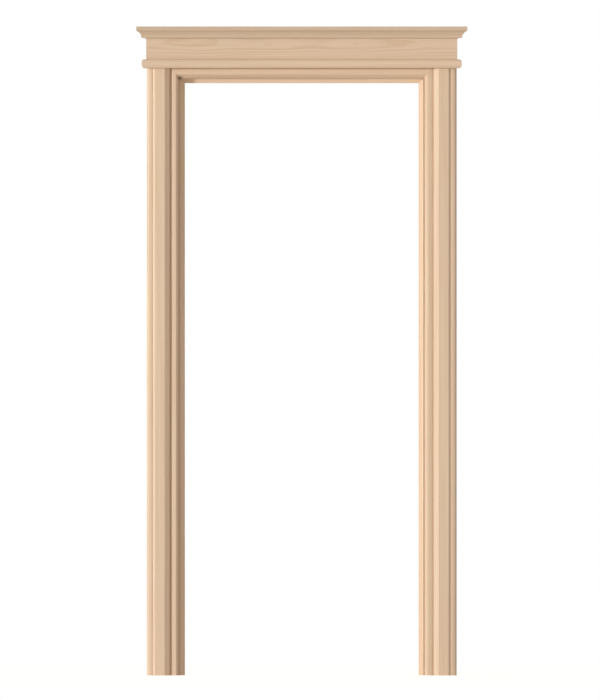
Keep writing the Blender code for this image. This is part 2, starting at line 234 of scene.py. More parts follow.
@dataclass(frozen=True)
class SandedBeech:
    """European beech, kiln dried, planed and sanded, with no finish on it.

    It is a pale tan with a pink cast. The rings are faint, slightly darker lines, the pores are too fine to
    see, and the sanded fibres scatter the light, so there is hardly any gloss. Real fibres are a few
    hundredths of a millimetre wide, far too fine for the picture, so they are drawn as coarse as shows.
    """

    pale: str = "DEC8B0"
    body: str = "D4BBA2"
    late: str = "C3A483"
    rosy: str = "D8B9A5"
    straw: str = "D7C09D"
    end_grain: str = "AD8B68"
    # colour of the painted shade laid into the timber at a mark
    mark: str = "6E5236"
    tones_at: tuple[float, float, float] = (0.12, 0.46, 0.85)
    ring_mm: float = 3.4
    late_wood: Pair = (0.25, 0.84)
    sway_mm: float = 9.0
    sway_size_mm: Pair = (380.0, 120.0)
    ripple_mm: float = 1.1
    ripple_size_mm: Pair = (70.0, 14.0)
    fibre_size_mm: Pair = (210.0, 1.9)
    streak_size_mm: Pair = (520.0, 9.0)
    drift_size_mm: Pair = (640.0, 60.0)
    noise_roughness: float = 0.55
    ring_share: float = 0.20
    fibre_share: float = 0.30
    streak_share: float = 0.48
    tint_share: float = 0.75
    end_share: float = 0.62
    end_facing: Pair = (0.35, 0.95)
    mark_edge: Pair = (0.6, 1.35)
    mark_wander: float = 0.5
    mark_noise: float = 1.7
    roughness: Pair = (0.56, 0.70)
    ring_height: float = -0.35
    relief_strength: float = 0.35
    relief_height: float = 0.08 * MM
    refraction: float = 1.5

    def material(self, name: str, board: Board) -> bpy.types.Material:
        """Make the timber of one board.

        Args:
            name: The piece's name.
            board: How the board lies and was sawn.

        Returns:
            A material whose pattern runs through the solid, so that faces, mouldings and cut ends agree.
        """
        material = bpy.data.materials.new(f"sanded_beech_{name}")
        tree = empty_tree(material)
        place = self._board_place(tree, board)
        rings = self._rings(tree, place, board)
        fibres = self._stretched_noise(tree, place, self.fibre_size_mm, detail=3.0)
        colour = self._colour(tree, place, rings, fibres, board)
        colour = self._end_grain(tree, colour, board)
        for mark in board.marks:
            colour = self._marked(tree, colour, mark)
        rough = add_node(tree, "MapRange", {
            "Value": fibres, "To Min": self.roughness[0], "To Max": self.roughness[1],
        })
        relief = add_node(tree, "Math", {0: rings, 1: self.ring_height, 2: fibres}, operation="MULTIPLY_ADD")
        bump = add_node(tree, "Bump", {
            "Strength": self.relief_strength, "Distance": self.relief_height, "Height": relief,
        })
        shader = add_node(tree, "BsdfPrincipled", {
            "Base Color": colour, "Roughness": rough, "IOR": self.refraction, "Normal": bump,
        })
        add_node(tree, "OutputMaterial", {"Surface": shader})
        return material

    def _board_place(self, tree: Tree, board: Board) -> Socket:
        """Give the place in the board in mm, with X along its fibres.

        Args:
            tree: The material's nodes.
            board: How the board lies.

        Returns:
            The place.
        """
        coordinates = add_node(tree, "TexCoord")
        mapping = add_node(tree, "Mapping", {
            "Vector": coordinates.outputs["Object"], "Location": board.shift_mm,
            "Rotation": board.grain.value, "Scale": (1 / MM, 1 / MM, 1 / MM),
        }, vector_type="POINT")
        return mapping.outputs[0]

    def _stretched_noise(self, tree: Tree, place: Socket, size_mm: Pair, detail: float = 1.0) -> Socket:
        """Make noise that is drawn out along the fibres.

        Args:
            tree: The material's nodes.
            place: The place in the board, in mm.
            size_mm: The size of its spots along the fibres and across them.
            detail: How many finer layers it has.

        Returns:
            A value from 0 to 1.
        """
        along, across = size_mm
        scaled = add_node(tree, "VectorMath", {
            0: place, 1: (1 / along, 1 / across, 1 / across),
        }, operation="MULTIPLY")
        noise = add_node(tree, "TexNoise", {
            "Vector": scaled, "Scale": 1.0, "Detail": detail, "Roughness": self.noise_roughness,
        }, noise_dimensions="3D")
        return noise.outputs[0]

    def _rings(self, tree: Tree, place: Socket, board: Board) -> Socket:
        """Draw the year rings round the heart of the tree, swaying along the trunk.

        Args:
            tree: The material's nodes.
            place: The place in the board, in mm.
            board: How the board was sawn.

        Returns:
            A value that is 1 in the dark late wood of a ring and 0 in its early wood.
        """
        behind, aside = board.cut.value
        heart = (0.0, board.middle_mm[0] + behind, board.middle_mm[1] + aside)
        from_heart = add_node(tree, "VectorMath", {0: place, 1: heart}, operation="SUBTRACT")
        flat = add_node(tree, "VectorMath", {0: from_heart, 1: (0.0, 1.0, 1.0)}, operation="MULTIPLY")
        radius = add_node(tree, "VectorMath", {0: flat}, operation="LENGTH")
        reach = radius.outputs["Value"]
        for size_mm, swing_mm in ((self.sway_size_mm, self.sway_mm), (self.ripple_size_mm, self.ripple_mm)):
            swayed = add_node(tree, "Math", {
                0: self._stretched_noise(tree, place, size_mm), 1: 2 * swing_mm, 2: reach,
            }, operation="MULTIPLY_ADD")
            reach = swayed.outputs[0]
        turns = add_node(tree, "Math", {0: reach, 1: self.ring_mm}, operation="DIVIDE")
        year = add_node(tree, "Math", {0: turns}, operation="FRACT")
        late = add_node(tree, "ValToRGB", {"Fac": year})
        ramp = late.color_ramp
        ramp.interpolation = "EASE"
        ramp.elements[0].position = self.late_wood[0]
        ramp.elements[0].color = linear("000000")
        ramp.elements[1].position = self.late_wood[1]
        ramp.elements[1].color = linear("FFFFFF")
        ramp.elements.new(1.0).color = linear("000000")
        return late.outputs[0]

    def _colour(self, tree: Tree, place: Socket, rings: Socket, fibres: Socket, board: Board) -> Socket:
        """Mix the colour of long grain, with broad streaks and a slow change from a rosy to a straw cast.

        Args:
            tree: The material's nodes.
            place: The place in the board, in mm.
            rings: Late wood of the year rings.
            fibres: Fine fibres.
            board: The board, for how pale it is.

        Returns:
            The colour.
        """
        streaks = self._stretched_noise(tree, place, self.streak_size_mm, detail=2.0)
        tone = 0.0
        for pattern, share in (
            (rings, self.ring_share), (fibres, self.fibre_share), (streaks, self.streak_share),
        ):
            added = add_node(tree, "Math", {0: pattern, 1: share, 2: tone}, operation="MULTIPLY_ADD")
            tone = added.outputs[0]
        tones = add_node(tree, "ValToRGB", {"Fac": tone})
        elements = tones.color_ramp.elements
        elements[0].position, body_at, elements[1].position = self.tones_at
        elements[0].color = board.shaded(self.pale)
        elements[1].color = board.shaded(self.late)
        elements.new(body_at).color = board.shaded(self.body)
        drift = self._stretched_noise(tree, place, self.drift_size_mm)
        cast = add_node(tree, "Mix", {
            0: drift, FIRST_COLOUR: linear(self.rosy), SECOND_COLOUR: linear(self.straw),
        }, data_type="RGBA")
        tint = add_node(tree, "VectorMath", {
            0: cast.outputs[MIXED_COLOUR], 1: linear(self.body)[:3],
        }, operation="DIVIDE")
        tinted = add_node(tree, "Mix", {
            0: self.tint_share, FIRST_COLOUR: tones, SECOND_COLOUR: tint,
        }, data_type="RGBA", blend_type="MULTIPLY")
        return tinted.outputs[MIXED_COLOUR]

    def _end_grain(self, tree: Tree, colour: Socket, board: Board) -> Socket:
        """Darken the sawn ends, where the open pores drink the light.

        Args:
            tree: The material's nodes.
            colour: Colour of the long grain.
            board: How the board lies.

        Returns:
            The colour with its end grain.
        """
        geometry = add_node(tree, "NewGeometry")
        axes = {Grain.ALONG_X: ACROSS, Grain.ALONG_Y: BACK, Grain.ALONG_Z: UP}
        facing = add_node(tree, "VectorMath", {
            0: geometry.outputs["Normal"], 1: tuple(axes[board.grain]),
        }, operation="DOT_PRODUCT")
        size = add_node(tree, "Math", {0: facing.outputs["Value"]}, operation="ABSOLUTE")
        share = add_node(tree, "MapRange", {
            "Value": size, "From Min": self.end_facing[0], "From Max": self.end_facing[1],
            "To Max": self.end_share,
        }, interpolation_type="SMOOTHSTEP")
        mixed = add_node(tree, "Mix", {
            0: share, FIRST_COLOUR: colour, SECOND_COLOUR: board.shaded(self.end_grain),
        }, data_type="RGBA")
        return mixed.outputs[MIXED_COLOUR]

    def _marked(self, tree: Tree, colour: Socket, mark: Mark) -> Socket:
        """Paint shade into the timber at a mark, with a soft, uneven edge.

        Args:
            tree: The material's nodes.
            colour: Colour without the mark.
            mark: Where the mark is and how far it reaches.

        Returns:
            The colour with the mark.
        """
        coordinates = add_node(tree, "TexCoord")
        scale = Vector([1 / (MM * reach) for reach in mark.reach_mm])
        place = add_node(tree, "Mapping", {
            "Vector": coordinates.outputs["Object"], "Location": tuple(-mark.centre * scale),
            "Scale": tuple(scale),
        }, vector_type="POINT")
        distance = add_node(tree, "VectorMath", {0: place}, operation="LENGTH")
        unevenness = add_node(tree, "TexNoise", {
            "Vector": place, "Scale": self.mark_noise, "Detail": 2.0,
        }, noise_dimensions="3D")
        uneven = add_node(tree, "Math", {
            0: unevenness, 1: self.mark_wander, 2: distance.outputs["Value"],
        }, operation="MULTIPLY_ADD")
        share = add_node(tree, "MapRange", {
            "Value": uneven, "From Min": self.mark_edge[0], "From Max": self.mark_edge[1],
            "To Min": mark.strength, "To Max": 0.0,
        }, interpolation_type="SMOOTHSTEP")
        mixed = add_node(tree, "Mix", {
            0: share, FIRST_COLOUR: colour, SECOND_COLOUR: linear(self.mark),
        }, data_type="RGBA")
        return mixed.outputs[MIXED_COLOUR]


@dataclass(frozen=True)
class PlatedSteel:
    """Carbon steel screw, zinc plated and yellowish grey, tumbled, so its gloss is broken and soft."""

    colour: str = "BDB9AE"
    stain: str = "9E988A"
    cloud_mm: float = 2.5
    roughness: Pair = (0.28, 0.46)
    relief_strength: float = 0.2
    relief_height: float = 0.03 * MM

    def material(self, name: str) -> bpy.types.Material:
        """Make the plating of one screw.

        Args:
            name: The screw's name.

        Returns:
            A metal with cloudy plating.
        """
        material = bpy.data.materials.new(f"zinc_plated_steel_{name}")
        tree = empty_tree(material)
        coordinates = add_node(tree, "TexCoord")
        clouds = add_node(tree, "TexNoise", {
            "Vector": coordinates.outputs["Object"], "Scale": 1 / (self.cloud_mm * MM), "Detail": 3.0,
        }, noise_dimensions="3D")
        colour = add_node(tree, "Mix", {
            0: clouds, FIRST_COLOUR: linear(self.colour), SECOND_COLOUR: linear(self.stain),
        }, data_type="RGBA")
        rough = add_node(tree, "MapRange", {
            "Value": clouds, "To Min": self.roughness[0], "To Max": self.roughness[1],
        })
        bump = add_node(tree, "Bump", {
            "Strength": self.relief_strength, "Distance": self.relief_height, "Height": clouds,
        })
        shader = add_node(tree, "BsdfPrincipled", {
            "Base Color": colour.outputs[MIXED_COLOUR], "Metallic": 1.0, "Roughness": rough, "Normal": bump,
        })
        add_node(tree, "OutputMaterial", {"Surface": shader})
        return material


# Drawing and sawing


def corners_of(geometry: list) -> list[Corner]:
    """Pick the corners out of what an operator has made."""
    return [item for item in geometry if isinstance(item, Corner)]


def put_in_place(mesh: Solid, shift: Vector) -> None:
    """Move a finished solid to its place and turn its faces outwards."""
    bmesh.ops.translate(mesh, verts=mesh.verts, vec=shift)
    bmesh.ops.recalc_face_normals(mesh, faces=mesh.faces)


class SectionPen:
    """Draws the closed outline of a section, clockwise, and sweeps it.

    The section's two measures run along two axes from a corner. On a clockwise outline a positive rise bows
    out of the timber and a negative one is hollow.
    """

    def __init__(self, corner: Vector, first_axis: Vector, second_axis: Vector) -> None:
        """Start an empty outline.

        Args:
            corner: The point from which the section is measured.
            first_axis: Direction of the first measure.
            second_axis: Direction of the second measure.
        """
        self.mesh = bmesh.new()
        self.corner = corner
        self.first_axis = first_axis
        self.second_axis = second_axis
        self.last: Corner | None = None

    def point(self, first: float, second: float) -> Vector:
        """Place a point of the section."""
        return self.corner + first * self.first_axis + second * self.second_axis

    def line(self, first: float, second: float) -> None:
        """Draw a straight stretch to a point; the first call only sets the pen down.

        Args:
            first: First measure of the point.
            second: Second measure of the point.
        """
        corner = self.mesh.verts.new(self.point(first, second))
        if self.last is not None:
            self.mesh.edges.new((self.last, corner))
        self.last = corner

    def curve(self, first: float, second: float, rise: float, steps: int = ARC_STEPS) -> None:
        """Draw an arc to a point.

        Args:
            first: First measure of the point.
            second: Second measure of the point.
            rise: Height of the arc as a share of its chord.
            steps: Number of short edges.
        """
        axis = self.first_axis.cross(self.second_axis)
        start = self.last.co.copy()
        end = self.point(first, second)
        half_turn = 2.0 * math.atan(2.0 * rise)
        aside = axis.cross(end - start)
        centre = (start + end) / 2.0 - aside / (2.0 * math.tan(half_turn))
        spun = bmesh.ops.spin(
            self.mesh, geom=[self.last], cent=centre, axis=axis, angle=-2.0 * half_turn,
            steps=steps, use_merge=False, use_duplicate=False,
        )
        self.last = corners_of(spun["geom_last"])[0]

    def eased(self, first: float, second: float) -> None:
        """Draw the quarter round of an eased arris."""
        self.curve(first, second, QUARTER_RISE, ARRIS_STEPS)

    def sweep(self, start: Vector, end: Vector) -> Solid:
        """Close the outline and sweep it straight.

        Args:
            start: Shift of the first end.
            end: Shift of the second end.

        Returns:
            The closed solid.
        """
        mesh = self.mesh
        mesh.verts.ensure_lookup_table()
        mesh.edges.new((self.last, mesh.verts[0]))
        cap = bmesh.ops.contextual_create(mesh, geom=mesh.edges[:])["faces"][0]
        bmesh.ops.translate(mesh, verts=mesh.verts, vec=start)
        grown = bmesh.ops.extrude_face_region(mesh, geom=[cap])["geom"]
        bmesh.ops.translate(mesh, verts=corners_of(grown), vec=end - start)
        bmesh.ops.recalc_face_normals(mesh, faces=mesh.faces)
        return mesh


Draw = Callable[[SectionPen], None]


def saw(mesh: Solid, point: Vector, away: Vector) -> None:
    """Saw a solid through a plane and close the cut.

    Args:
        mesh: The solid.
        point: A point of the plane.
        away: The plane's normal, on the side that is cut off.
    """
    everything = mesh.verts[:] + mesh.edges[:] + mesh.faces[:]
    cut = bmesh.ops.bisect_plane(mesh, geom=everything, plane_co=point, plane_no=away, clear_outer=True)
    rim = [item for item in cut["geom_cut"] if isinstance(item, Edge)]
    bmesh.ops.contextual_create(mesh, geom=rim)
    bmesh.ops.recalc_face_normals(mesh, faces=mesh.faces)


def mitre(mesh: Solid, corner: Vector, away: Vector) -> None:
    """Saw a mitre half a hairline short of a corner, square to the way towards the other length."""
    away = away.normalized()
    saw(mesh, corner - away * HAIRLINE / 2.0, away)


def sand_edges(mesh: Solid) -> None:
    """Take the sharpness off the edges of a solid, as a sanding block does.

    Args:
        mesh: The solid.
    """
    sharp = [edge for edge in mesh.edges if edge.is_manifold and edge.calc_face_angle() > SOFT_ANGLE]
    bmesh.ops.bevel(
        mesh, geom=sharp, offset=SANDED_EDGE, offset_type="OFFSET", segments=2, profile=0.5,
        affect="EDGES", clamp_overlap=True, material=-1,
    )


def run_length(
    draw: Draw,
    corner: Vector,
    axes: tuple[Vector, Vector],
    span: tuple[Vector, Vector],
    mitres: Sequence[tuple[Vector, Vector]] = (),
) -> Solid:
    """Run a length of timber with a drawn section, saw its mitres and sand its edges.

    Args:
        draw: Method that draws the section.
        corner: The point from which the section is measured.
        axes: The directions of its two measures.
        span: Shifts of its two ends.
        mitres: For each mitre its corner and the way towards the other length.

    Returns:
        The mesh of the length.
    """
    pen = SectionPen(corner, *axes)
    draw(pen)
    mesh = pen.sweep(*span)
    for place, away in mitres:
        mitre(mesh, place, away)
    sand_edges(mesh)
    return mesh


def place_object(name: str, content: Solid | bpy.types.ID) -> Piece:
    """Put an object into the scene.

    Args:
        name: Its name.
        content: Its data, or a bmesh, which is used up.

    Returns:
        The object.
    """
    if isinstance(content, Solid):
        data = bpy.data.meshes.new(name)
        content.to_mesh(data)
        content.free()
        content = data
    placed = bpy.data.objects.new(name, content)
    bpy.context.scene.collection.objects.link(placed)
    return placed


def smooth(piece: Piece) -> None:
    """Shade the curves of a piece smoothly and keep its edges."""
    piece.data.shade_smooth()
    piece.data.set_sharp_from_angle(angle=SOFT_ANGLE)


def add_piece(name: str, mesh: Solid, node: str) -> Piece:
    """Make an object of a finished mesh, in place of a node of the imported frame.

    Args:
        name: The piece's name.
        mesh: The finished mesh, in place.
        node: The node that it stands for.

    Returns:
        The piece.
    """
    piece = place_object(name, mesh)
    smooth(piece)
    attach(piece, "root")
    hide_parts(node)
    LOG.info("%s: %d faces, stands for %s", name, len(piece.data.polygons), node)
    return piece


def round_bar(middle: Vector, radius: float, half_length: float) -> Solid:
    """Make an upright round bar, to bore a hole with.

    Args:
        middle: The middle of the bar.
        radius: Its radius.
        half_length: Half its length.

    Returns:
        The bar's mesh.
    """
    mesh = bmesh.new()
    bmesh.ops.create_cone(
        mesh, cap_ends=True, segments=BORE_STEPS, radius1=radius, radius2=radius, depth=2.0 * half_length,
    )
    bmesh.ops.translate(mesh, verts=mesh.verts, vec=middle)
    return mesh


def make_permanent(piece: Piece) -> None:
    """Put the result of a piece's modifiers in the place of its mesh.

    Args:
        piece: The piece.
    """
    depsgraph = bpy.context.evaluated_depsgraph_get()
    made = bpy.data.meshes.new_from_object(piece.evaluated_get(depsgraph), depsgraph=depsgraph)
    piece.modifiers.clear()
    before = piece.data
    piece.data = made
    bpy.data.meshes.remove(before)
    made.name = piece.name


def flatten_shading(piece: Piece) -> None:
    """Let large faces lead the smooth shading, so that sanded edges don't bend the look of a flat face.

    Args:
        piece: The piece.
    """
    weighted = piece.modifiers.new("weighted_normals", "WEIGHTED_NORMAL")
    weighted.keep_sharp = True
    make_permanent(piece)


def carve(piece: Piece, cutter_mesh: Solid) -> None:
    """Cut a shape out of a piece for good.

    Args:
        piece: The piece.
        cutter_mesh: The closed shape to take away; it is used up.
    """
    cutter = place_object("cutter", cutter_mesh)
    cutter.parent = piece.parent
    hole = piece.modifiers.new("hole", "BOOLEAN")
    hole.operation = "DIFFERENCE"
    hole.solver = "EXACT"
    hole.object = cutter
    make_permanent(piece)
    bpy.data.meshes.remove(cutter.data)
    smooth(piece)


# Sub-assemblies


@dataclass
class TimberGroup:
    """Pieces of timber that are made together, each from a board of its own."""

    beech: SandedBeech = field(default_factory=SandedBeech)
    pieces: dict[str, Piece] = field(default_factory=dict, init=False)
    boards: dict[str, Board] = field(default_factory=dict, init=False)

    def add(self, name: str, mesh: Solid, node: str, slot: str, board: Board) -> None:
        """Add a finished piece, in place of a node of the frame, and the board that it is cut from."""
        self.pieces[name] = add_piece(name, mesh, node)
        self.boards[name] = board

    def dress(self) -> None:
        """Give every piece the timber of its board."""
        for name, piece in self.pieces.items():
            flatten_shading(piece)
            piece.data.materials.append(self.beech.material(name, self.boards[name]))


@dataclass
class JambSet(TimberGroup):
    """Two side jambs and a head jamb, mitred together, with the stops planted on them.

    The jamb's face is bowed between two quirks, one beside the casing and one at the foot of the ovolo that
    leads into the rebate.
    """

    seat_quirk_width: float = 2.6 * MM
    seat_quirk_depth: float = 1.4 * MM
    bow: float = 2.5 * MM
    bow_rise: float = 0.05
    ovolo_width: float = 13.5 * MM
    ovolo_depth: float = 10.0 * MM
    ovolo_rise: float = 0.03
    quirk_lip: float = 1.6 * MM
    quirk_width: float = 4.2 * MM
    quirk_depth: float = 4.2 * MM
    arris: float = 0.8 * MM
    stop_splay: float = 5.0 * MM
    stop_rise: float = -0.02
    jamb_paleness: float = 1.06
    # painted light on the stops: their colour is lifted to offset the shade that falls on them behind the
    # jambs
    stop_paleness: float = 1.12
    # painted shade on the right jamb and stop: their boards are darker, standing in for less light on the
    # side away from the key
    right_side_darker: float = 0.02
    # painted shade in the left mitred corner of the moulding, standing in for the shade that gathers there
    knot_depth: float = 18.0 * MM
    knot_strength: float = 0.5
    knot_reach_mm: tuple[float, float, float] = (15.0, 38.0, 8.0)

    def __post_init__(self) -> None:
        """Read the places of the jambs and the stops from the frame."""
        low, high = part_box("jamb_right")
        stop_low, stop_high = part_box("stop_right")
        self.rebate_half = low.x
        self.rebate_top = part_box("jamb_head")[0].z
        self.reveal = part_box("casing_right")[0].x - low.x
        self.front = low.y + self.bow
        self.thickness = high.x - low.x
        self.depth = high.y - self.front
        self.stop_inner = stop_low.x - low.x
        self.stop_outer = stop_high.x - low.x
        self.stop_front = stop_low.y - self.front
        self.stop_back = stop_high.y - self.front

    def draw_jamb(self, pen: SectionPen) -> None:
        """Draw the jamb, measured outwards from the rebate and back from the seat of the casing.

        Args:
            pen: The pen that draws the section.
        """
        bow_start = self.reveal - self.seat_quirk_width
        pen.line(self.reveal, 0.0)
        pen.line(self.reveal, self.seat_quirk_depth)
        pen.line(bow_start, self.seat_quirk_depth)
        pen.line(bow_start, 0.0)
        pen.curve(self.ovolo_width, -self.bow, self.bow_rise)
        pen.curve(self.quirk_lip + self.quirk_width, self.ovolo_depth, self.ovolo_rise)
        pen.line(self.quirk_lip, self.ovolo_depth + self.quirk_depth)
        pen.line(self.quirk_lip, self.ovolo_depth)
        pen.line(self.arris, self.ovolo_depth)
        pen.eased(0.0, self.ovolo_depth + self.arris)
        pen.line(0.0, self.depth - self.arris)
        pen.eased(self.arris, self.depth)
        pen.line(self.thickness - self.arris, self.depth)
        pen.eased(self.thickness, self.depth - self.arris)
        pen.line(self.thickness, 0.0)

    def draw_stop(self, pen: SectionPen) -> None:
        """Draw the stop, measured as the jamb is, with its splayed face.

        Args:
            pen: The pen that draws the section.
        """
        splay_end = self.stop_front + self.stop_splay
        pen.line(self.stop_outer, self.stop_front)
        pen.curve(self.stop_inner + self.arris, splay_end, self.stop_rise)
        pen.eased(self.stop_inner, splay_end + self.arris)
        pen.line(self.stop_inner, self.stop_back - self.arris)
        pen.eased(self.stop_inner + self.arris, self.stop_back)
        pen.line(self.stop_outer, self.stop_back)

    def side_member(self, draw: Draw, side: Side) -> Solid:
        """Sweep a section up one side of the doorway and saw its mitre.

        Args:
            draw: Method that draws the section.
            side: The side of the doorway.

        Returns:
            The member's mesh.
        """
        foot = self.rebate_half * side.outward + self.front * BACK
        above = (self.rebate_top + 2.0 * self.thickness) * UP
        corner = foot + self.rebate_top * UP
        return run_length(draw, foot, (side.outward, BACK), (Vector(), above), [(corner, UP - side.outward)])

    def head_member(self, draw: Draw) -> Solid:
        """Sweep a section over the doorway and saw both its mitres.

        Args:
            draw: Method that draws the section.

        Returns:
            The member's mesh.
        """
        middle = self.front * BACK + self.rebate_top * UP
        reach = (self.rebate_half + 2.0 * self.thickness) * ACROSS
        mitres = [(middle + self.rebate_half * side.outward, side.outward - UP) for side in Side]
        return run_length(draw, middle, (UP, BACK), (-reach, reach), mitres)

    def corner_knot(self) -> Mark:
        """Place the painted shade in the moulding's left corner, which both mitred members share: a dark
        patch where the mitre lies in shade.
        """
        centre = Vector((-self.rebate_half, self.front + self.knot_depth, self.rebate_top))
        return Mark(centre, self.knot_reach_mm, self.knot_strength)

    def build(self) -> None:
        """Build the jambs and the stops."""
        # the left jamb, the left stop and the head members share this patch of painted shade in their mitred
        # corner
        corner_shades = (self.corner_knot(),)
        # the stops' higher paleness is painted light, and the right side's darker boards are painted shade
        for kind, draw, cut, paleness in (
            ("jamb", self.draw_jamb, Cut.RIFT, self.jamb_paleness),
            ("stop", self.draw_stop, Cut.QUARTER, self.stop_paleness),
        ):
            slot = f"{kind}_timber"
            # the right side takes its painted shade as a darker board colour
            for side, darker, marks in ((Side.LEFT, 0.0, corner_shades), (Side.RIGHT, self.right_side_darker, ())):
                board = Board(Grain.ALONG_Z, cut, paleness - darker, marks=marks)
                mesh = self.side_member(draw, side)
                self.add(f"{side.label}_{kind}", mesh, f"{kind}_{side.label}", slot, board)
            board = Board(Grain.ALONG_X, cut, paleness, marks=corner_shades)
            self.add(f"head_{kind}", self.head_member(draw), f"{kind}_head", slot, board)


@dataclass
class CasingPair(TimberGroup):
    """Moulded casings over the front edges of the side jambs.

    From the doorway outwards a casing has a rounded edge over a small rebate, a bevel, a quirk, a flat
    field, a step down in an ogee, a second quirk, and a band that sweeps into the rounded outer edge.
    """

    inner_foot: float = 1.2 * MM
    inner_set_back: float = 1.4 * MM
    inner_round: float = 4.0 * MM
    inner_thickness: float = 9.4 * MM
    inner_rise: float = 0.16
    bevel_width: float = 12.5 * MM
    bevel_rise: float = 0.02
    quirk: float = 1.0 * MM
    field_width: float = 31.5 * MM
    field_thickness: float = 17.5 * MM
    step_width: float = 11.5 * MM
    step_rise_share: float = 0.25
    step_quirk: float = 1.3 * MM
    band_width: float = 9.2 * MM
    band_thickness: float = 13.4 * MM
    band_drop: float = 0.8 * MM
    band_rise: float = 0.03
    outer_drop: float = 9.5 * MM
    outer_rise: float = 0.17
    inner_land: float = 22.0 * MM
    outer_land: float = 14.0 * MM
    relief: float = 2.5 * MM
    # the right casing is painted darker than the left one: painted shade for less light on the side away
    # from the key
    paleness: Pair = (1.07, 1.02)

    def __post_init__(self) -> None:
        """Read the place of the casings from the frame."""
        low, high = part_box("casing_right")
        self.inner_x = low.x
        self.back_y = high.y
        self.width = high.x - low.x
        self.top = high.z

    def draw(self, pen: SectionPen) -> None:
        """Draw the casing, measured outwards from its inner edge and forward from its back.

        Args:
            pen: The pen that draws the section.
        """
        bevel_end = self.inner_round + self.bevel_width
        field_start = bevel_end + self.quirk
        field_end = field_start + self.field_width
        band_start = field_end + self.step_width
        band_edge = self.band_thickness - self.band_drop
        bevel_face = self.field_thickness - self.quirk
        bevel_middle = ((self.inner_round + bevel_end) / 2.0, (self.inner_thickness + bevel_face) / 2.0)
        step_foot = self.band_thickness - self.step_quirk
        step_middle = ((field_end + band_start) / 2.0, (self.field_thickness + step_foot) / 2.0)
        step_rise = self.step_rise_share * (self.field_thickness - step_foot) / self.step_width
        land_end = self.width - self.outer_land

        pen.line(0.0, 0.0)
        pen.line(0.0, self.inner_foot)
        pen.line(self.inner_set_back, self.inner_foot)
        pen.line(self.inner_set_back, self.inner_thickness - self.inner_round)
        pen.curve(self.inner_round, self.inner_thickness, self.inner_rise, ARRIS_STEPS)
        pen.curve(*bevel_middle, -self.bevel_rise)
        pen.curve(bevel_end, bevel_face, self.bevel_rise)
        pen.line(field_start, self.field_thickness)
        pen.line(field_end, self.field_thickness)
        pen.curve(*step_middle, step_rise)
        pen.curve(band_start, step_foot, -step_rise)
        pen.line(band_start, self.band_thickness)
        pen.curve(band_start + self.band_width, band_edge, self.band_rise)
        pen.curve(self.width, band_edge - self.outer_drop, self.outer_rise)
        pen.line(self.width, 0.0)
        pen.line(land_end, 0.0)
        pen.line(land_end - self.relief, self.relief)
        pen.line(self.inner_land + self.relief, self.relief)
        pen.line(self.inner_land, 0.0)

    def build(self) -> None:
        """Build both casings."""
        # the right casing's lower paleness is painted shade
        for side, paleness in zip(Side, self.paleness):
            foot = self.inner_x * side.outward + self.back_y * BACK
            mesh = run_length(self.draw, foot, (side.outward, -BACK), (Vector(), self.top * UP))
            board = Board(Grain.ALONG_Z, Cut.RIFT, paleness)
            self.add(f"{side.label}_casing", mesh, f"casing_{side.label}", "casing_timber", board)


